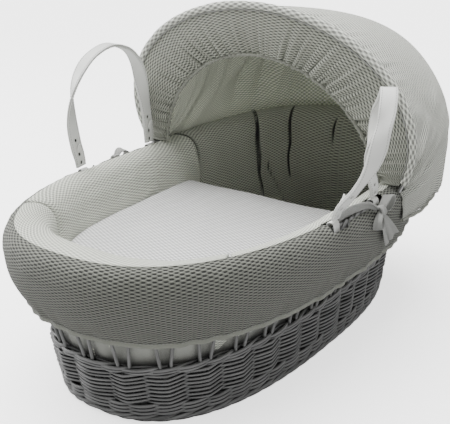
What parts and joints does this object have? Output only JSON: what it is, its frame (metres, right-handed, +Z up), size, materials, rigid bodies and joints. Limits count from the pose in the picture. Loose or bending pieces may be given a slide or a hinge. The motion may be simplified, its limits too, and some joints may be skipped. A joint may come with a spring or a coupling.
{
  "type": "moses basket",
  "caption": "Woven willow moses basket with padded fabric dressing, mattress and coverlet, folding fabric hood and two swinging carrying handles.",
  "frame": {"origin": "middle of the underside of the woven base, on the floor", "axes": "+Z up; +Y along the basket towards its head and hood; +X to the right seen from the foot"},
  "size_m": [0.5707, 0.8898, 0.5318],
  "materials": {
    "willow": "dark grey painted willow, satin",
    "lining_cotton": "plain light cotton",
    "waffle_fabric": "grey waffle-weave cotton",
    "plain_fabric": "plain grey cotton",
    "coverlet_fabric": "light grey waffle-weave cotton",
    "leatherette": "off-white leatherette with edge stitching",
    "bow_wire": "plain wire"
  },
  "bodies": {
    "basket": {"base_weave": "willow", "foot_border": "willow", "lower_weave": "willow", "stake_lattice": "willow", "upper_weave": "willow", "rim_border": "willow", "inner_lining": "lining_cotton", "liner_skirt": "waffle_fabric", "skirt_hem": "waffle_fabric", "bumper_foot": "waffle_fabric", "bumper_right": "waffle_fabric", "bumper_left": "waffle_fabric", "bumper_head": "waffle_fabric", "tie_right": "plain_fabric", "tie_left": "plain_fabric", "hood_hem_elastic": "plain_fabric", "rim_loop_left_foot": "leatherette", "rim_loop_left_head": "leatherette", "rim_loop_right_foot": "leatherette", "rim_loop_right_head": "leatherette"},
    "mattress_body": {"mattress": "lining_cotton"},
    "coverlet_body": {"coverlet": "coverlet_fabric"},
    "hood": {"hood_bow": "bow_wire", "hood_piping": "waffle_fabric", "hood_front_band": "waffle_fabric", "hood_edge_elastic": "plain_fabric", "hood_shell": "waffle_fabric", "hood_lining": "plain_fabric"},
    "left_handle": {"handle_left_strap": "leatherette", "handle_left_backing": "leatherette", "handle_left_tongue_foot": "leatherette", "handle_left_tongue_head": "leatherette"},
    "right_handle": {"handle_right_strap": "leatherette", "handle_right_backing": "leatherette", "handle_right_tongue_foot": "leatherette", "handle_right_tongue_head": "leatherette"}
  },
  "joints": [
    {"name": "mattress_lift", "type": "slide", "parent": "basket", "child": "mattress_body", "axis": [0, 0, 1], "range_m": [0, 0.03]},
    {"name": "coverlet_lift", "type": "slide", "parent": "mattress_body", "child": "coverlet_body", "axis": [0, 0, 1], "range_m": [0, 0.03]},
    {"name": "hood_fold", "type": "hinge", "parent": "basket", "child": "hood", "pos_m": [0, 0.088, 0.252], "axis": [-1, 0, 0], "range_deg": [0, 75], "deforming": ["hood_shell", "hood_lining", "hood_front_band"]},
    {"name": "left_handle_swing", "type": "hinge", "parent": "basket", "child": "left_handle", "pos_m": [-0.232, -0.028, 0.263], "axis": [0, 1, 0], "range_deg": [-80, 45]},
    {"name": "right_handle_swing", "type": "hinge", "parent": "basket", "child": "right_handle", "pos_m": [0.232, -0.038, 0.263], "axis": [0, -1, 0], "range_deg": [-62, 55]}
  ]
}
